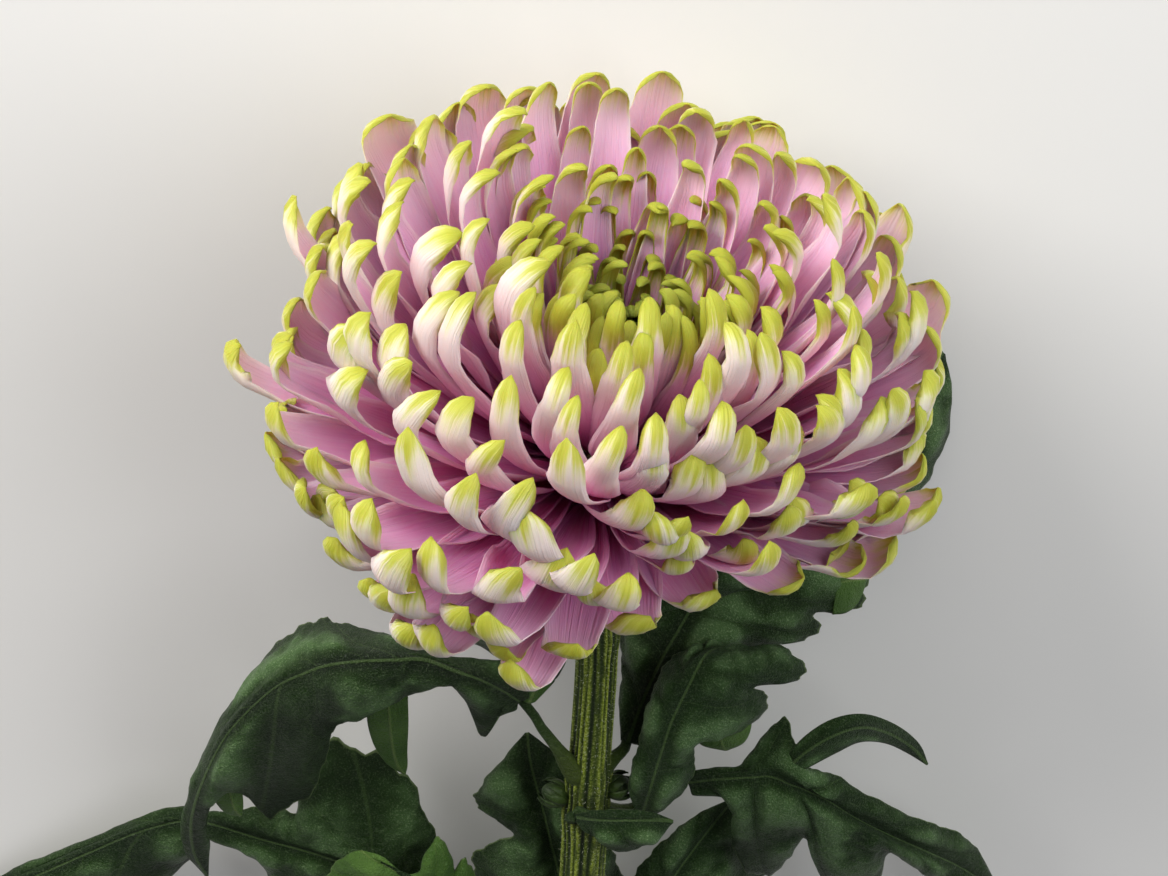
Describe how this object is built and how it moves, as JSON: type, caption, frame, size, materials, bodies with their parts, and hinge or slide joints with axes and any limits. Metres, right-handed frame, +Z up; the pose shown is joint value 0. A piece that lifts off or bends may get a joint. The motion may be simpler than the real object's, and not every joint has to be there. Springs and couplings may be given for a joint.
{
  "type": "chrysanthemum cut flower",
  "caption": "Cut disbud chrysanthemum lying on a surface: a large globe of incurving pink florets with lime green tips, on a leafy stem.",
  "frame": {"origin": "on the surface the flower lies on, under the middle of its box", "axes": "+Y along the stem from its cut end to the bloom, +Z up, and +X to the right as the bloom is seen from above"},
  "size_m": [0.2023, 0.2657, 0.1115],
  "materials": {
    "floret": "soft pink petals, lime green at the tips",
    "stem": "ribbed and finely hairy green",
    "calyx": "green bracts",
    "leaf": "dark green, matte and finely hairy",
    "bud": "dark green, hairy"
  },
  "bodies": {
    "root": {"stem": "stem", "calyx": "calyx", "bloom": "floret", "leaf_left_upper": "leaf", "leaf_left_lower": "leaf", "leaf_left_bottom": "leaf", "leaf_left_back": "leaf", "leaf_behind_stem": "leaf", "leaf_right_front": "leaf", "leaf_right_back": "leaf", "leaf_right_lower": "leaf", "leaf_right_bottom": "leaf", "leaf_right_high": "leaf", "leaf_small_front": "leaf", "bud_left": "bud", "bud_right": "bud"}
  },
  "joints": []
}
